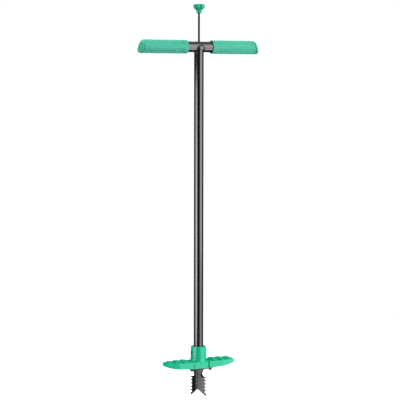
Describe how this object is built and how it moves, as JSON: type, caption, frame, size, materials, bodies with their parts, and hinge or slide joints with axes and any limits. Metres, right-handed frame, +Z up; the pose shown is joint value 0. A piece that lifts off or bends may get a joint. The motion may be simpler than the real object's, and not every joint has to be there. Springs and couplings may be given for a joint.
{
  "type": "weed puller",
  "caption": "Upright weed puller with a T-handle, a foot pedal, folded serrated blades and a sprung push rod whose knob drives a plate down between the blades to eject the weed.",
  "frame": {"origin": "on the shaft axis, at the level of the blade tips, where the soil takes hold of the tool", "axes": "+Z up along the shaft, X along the crossbar and the pedal, -Y to the front"},
  "size_m": [0.341, 0.0496, 1.0358],
  "materials": {
    "black_steel": "satin black powder coat on steel tube and rod",
    "blade_steel": "dark grey hardened steel sheet",
    "black_fastener": "blackened steel",
    "zinc_steel": "bright zinc",
    "spring_steel": "oiled spring wire",
    "insert_brass": "turned brass",
    "pedal_green": "semi-gloss moulded green plastic",
    "grip_green": "satin moulded green plastic",
    "guide_plastic": "black nylon"
  },
  "bodies": {
    "frame": {"crossbar": "black_steel", "shaft": "black_steel", "tee_weld": "black_steel", "grip_left": "grip_green", "grip_right": "grip_green", "pedal": "pedal_green", "hub_screws": "black_fastener", "base_plate": "blade_steel", "plate_bolts": "black_fastener", "plate_washers": "black_fastener", "pedal_inserts": "insert_brass", "blade_front": "blade_steel", "blade_rear": "blade_steel", "blade_welds": "blade_steel", "rod_guide_upper": "guide_plastic", "rod_guide_lower": "guide_plastic", "return_spring": "spring_steel"},
    "ejector": {"knob": "pedal_green", "knob_insert": "insert_brass", "ejector_rod": "black_steel", "spring_washer": "zinc_steel", "spring_clip": "spring_steel", "ejector_plate": "blade_steel", "ejector_washer": "zinc_steel", "ejector_nut": "zinc_steel"}
  },
  "joints": [
    {"name": "ejector_push", "type": "slide", "parent": "frame", "child": "ejector", "axis": [0, 0, -1], "range_m": [0, 0.0725], "stiffness_N_per_m": 300, "springref_m": -0.02, "deforming": ["return_spring"]}
  ]
}
